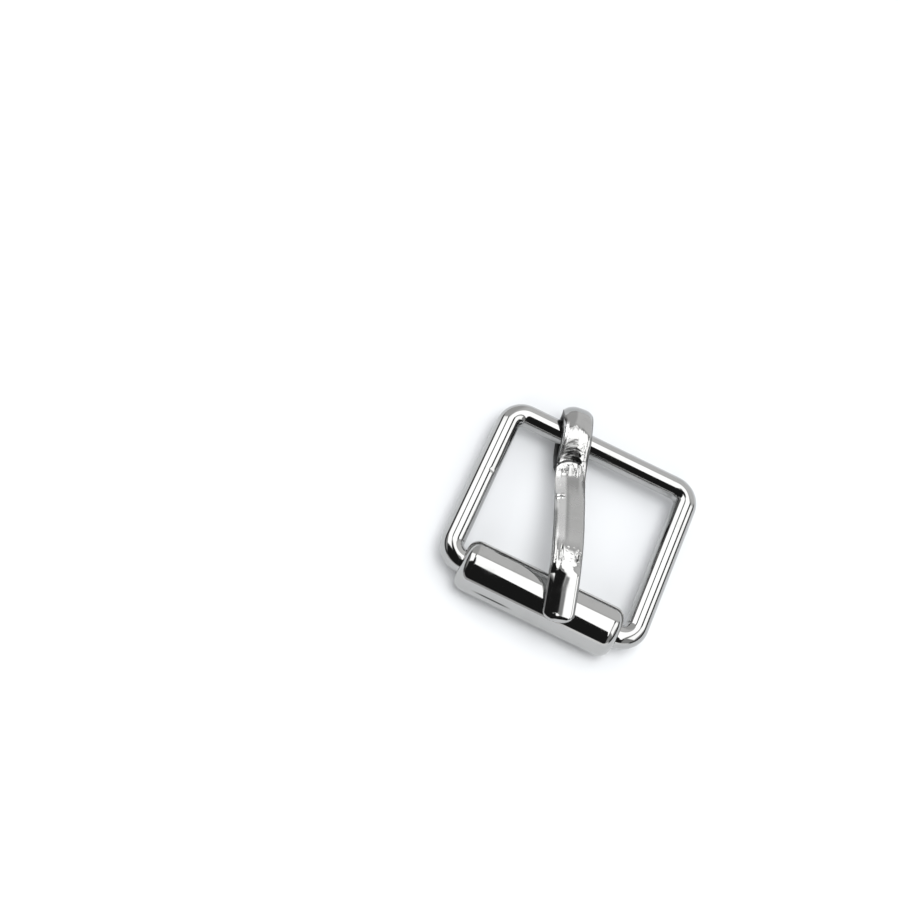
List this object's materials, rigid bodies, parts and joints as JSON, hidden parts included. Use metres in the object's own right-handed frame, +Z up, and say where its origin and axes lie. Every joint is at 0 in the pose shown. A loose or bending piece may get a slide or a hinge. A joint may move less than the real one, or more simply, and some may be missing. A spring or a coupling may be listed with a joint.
{
  "type": "rectangular roller buckle",
  "caption": "Rectangular buckle bent from round wire, with a sheet roller round the near bar and a formed prong hooked loosely over the far bar.",
  "frame": {"origin": "middle of the buckle's footprint, on the surface that it lies on", "axes": "+Z up from the surface, +Y from the roller towards the bar that carries the prong, +X along the bars"},
  "size_m": [0.0208, 0.0224, 0.0066],
  "materials": {
    "frame": "bright nickel plate on steel wire",
    "roller": "bright nickel plate on rolled steel sheet",
    "prong": "nickel plate on formed steel strip, satin along the shank and bright at both ends"
  },
  "bodies": {
    "frame": {"frame": "frame"},
    "roller": {"roller": "roller"},
    "prong": {"prong": "prong"}
  },
  "joints": [
    {"name": "prong_hinge", "type": "hinge", "parent": "frame", "child": "prong", "pos_m": [0, 0.00811, 0.00245], "axis": [-1, 0, 0], "range_deg": [0, 170]},
    {"name": "roller_spin", "type": "hinge", "parent": "frame", "child": "roller", "pos_m": [0, -0.00849, 0.00245], "axis": [1, 0, 0], "continuous": true}
  ]
}
